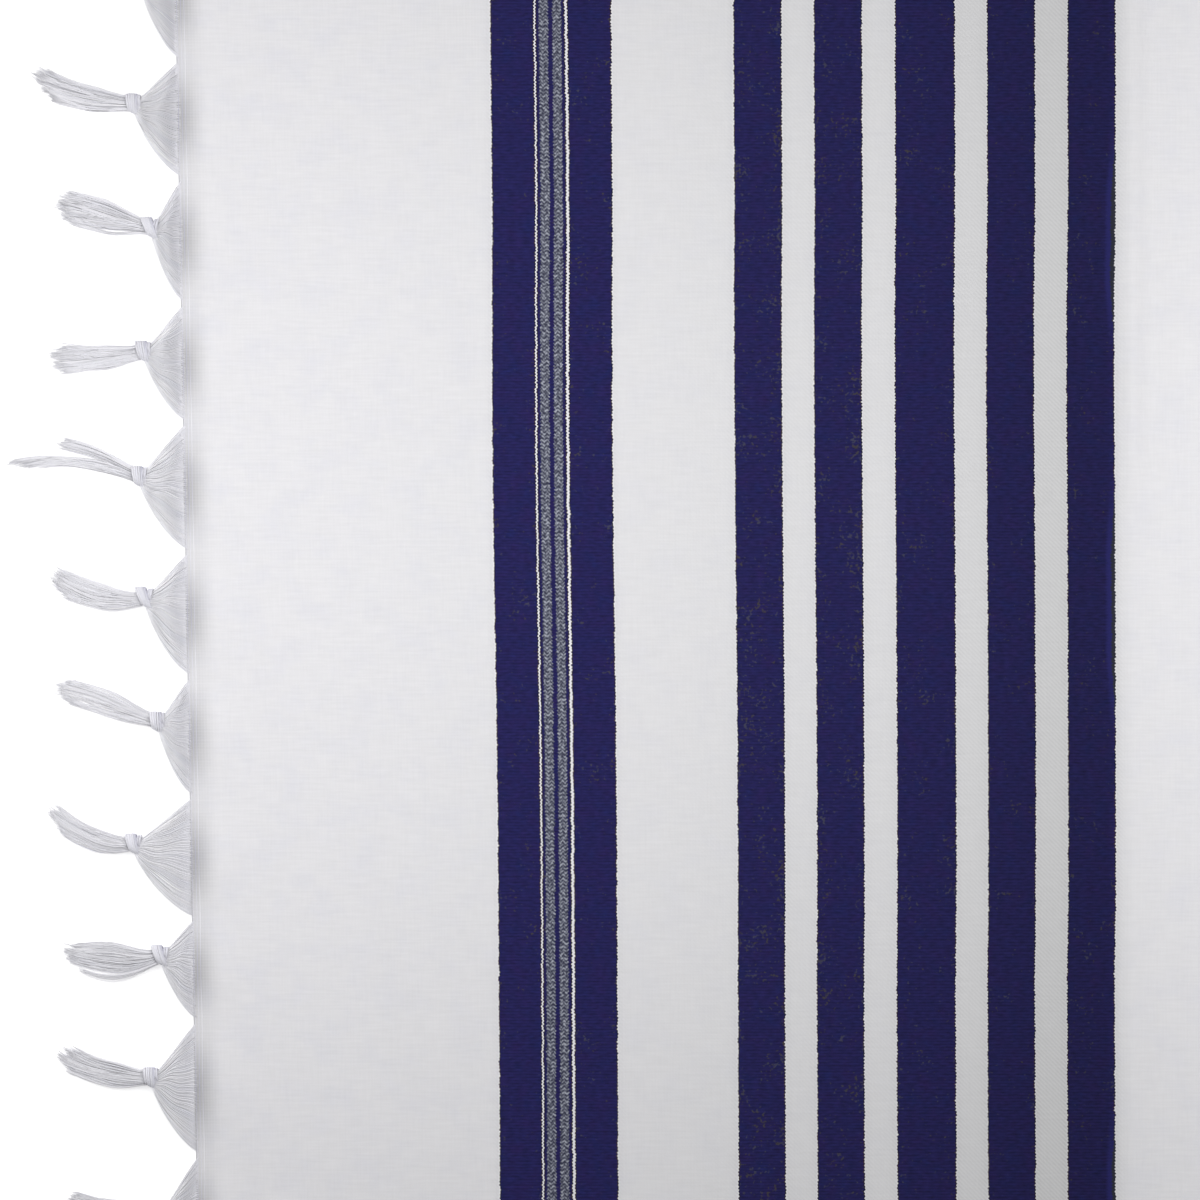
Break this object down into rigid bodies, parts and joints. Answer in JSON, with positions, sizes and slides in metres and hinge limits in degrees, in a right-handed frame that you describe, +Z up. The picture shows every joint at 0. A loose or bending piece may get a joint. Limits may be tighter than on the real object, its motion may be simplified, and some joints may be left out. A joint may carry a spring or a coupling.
{
  "type": "tallit prayer shawl",
  "caption": "Striped woven prayer shawl laid flat, with knotted tassels along both short ends and a ritual tassel tied through a hole near each corner.",
  "frame": {"origin": "on the surface that the shawl lies on, under the middle of the cloth", "axes": "+X along the shawl's length, from one fringed end to the other, +Y across its width, from one selvedge to the other, +Z up out of the surface"},
  "size_m": [2.2478, 0.6786, 0.0071],
  "materials": {
    "cloth_weave": "matt pale woven cloth with navy and silver-grey stripes",
    "fringe_yarn": "soft pale yarn",
    "tzitzit_yarn": "matt twisted cord"
  },
  "bodies": {
    "root": {"shawl_cloth": "cloth_weave", "fringe_left": "fringe_yarn", "fringe_right": "fringe_yarn", "tzitzit_left_upper": "tzitzit_yarn", "tzitzit_left_lower": "tzitzit_yarn", "tzitzit_right_upper": "tzitzit_yarn", "tzitzit_right_lower": "tzitzit_yarn"}
  },
  "joints": []
}
